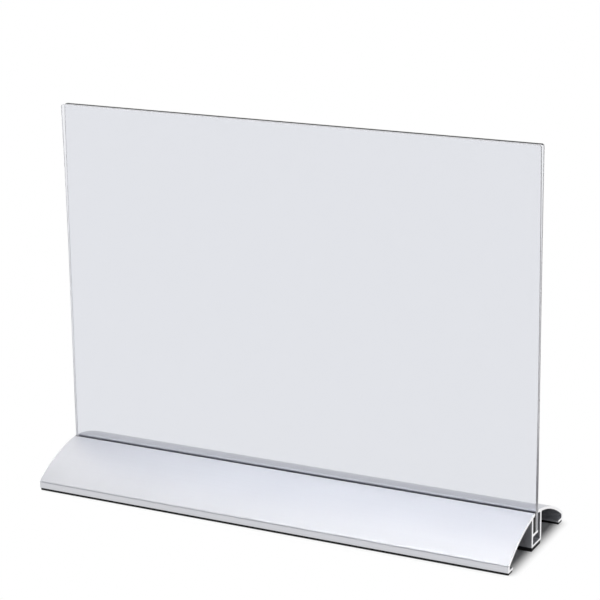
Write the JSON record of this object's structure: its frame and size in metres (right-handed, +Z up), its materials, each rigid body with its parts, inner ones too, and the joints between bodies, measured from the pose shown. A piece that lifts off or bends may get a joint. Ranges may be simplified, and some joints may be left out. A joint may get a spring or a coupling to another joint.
{
  "type": "menu holder",
  "caption": "Free-standing table menu holder: clear sheets stand in the channel of a domed aluminium base and part at the top to take a landscape card between them.",
  "frame": {"origin": "centre of the footprint, on the table plane", "axes": "+X along the holder, +Y from the front shell to the rear shell, +Z up"},
  "size_m": [0.21, 0.06, 0.16],
  "materials": {
    "anodised_aluminium": "satin silver anodised, with bright saw-cut ends",
    "clear_plastic": "clear polished sheet with cut edges",
    "black_rubber": "matt black"
  },
  "bodies": {
    "base": {"base_profile": "anodised_aluminium", "grip_strip": "black_rubber", "front_foot_strip": "black_rubber", "centre_foot_strip": "black_rubber", "rear_foot_strip": "black_rubber"},
    "front_sheet": {"front_sheet": "clear_plastic"},
    "back_sheet": {"back_sheet": "clear_plastic"}
  },
  "joints": [
    {"name": "front_sheet_lift", "type": "slide", "parent": "base", "child": "front_sheet", "axis": [0, 0, 1], "range_m": [0, 0.012]},
    {"name": "back_sheet_lift", "type": "slide", "parent": "base", "child": "back_sheet", "axis": [0, 0, 1], "range_m": [0, 0.012]}
  ]
}
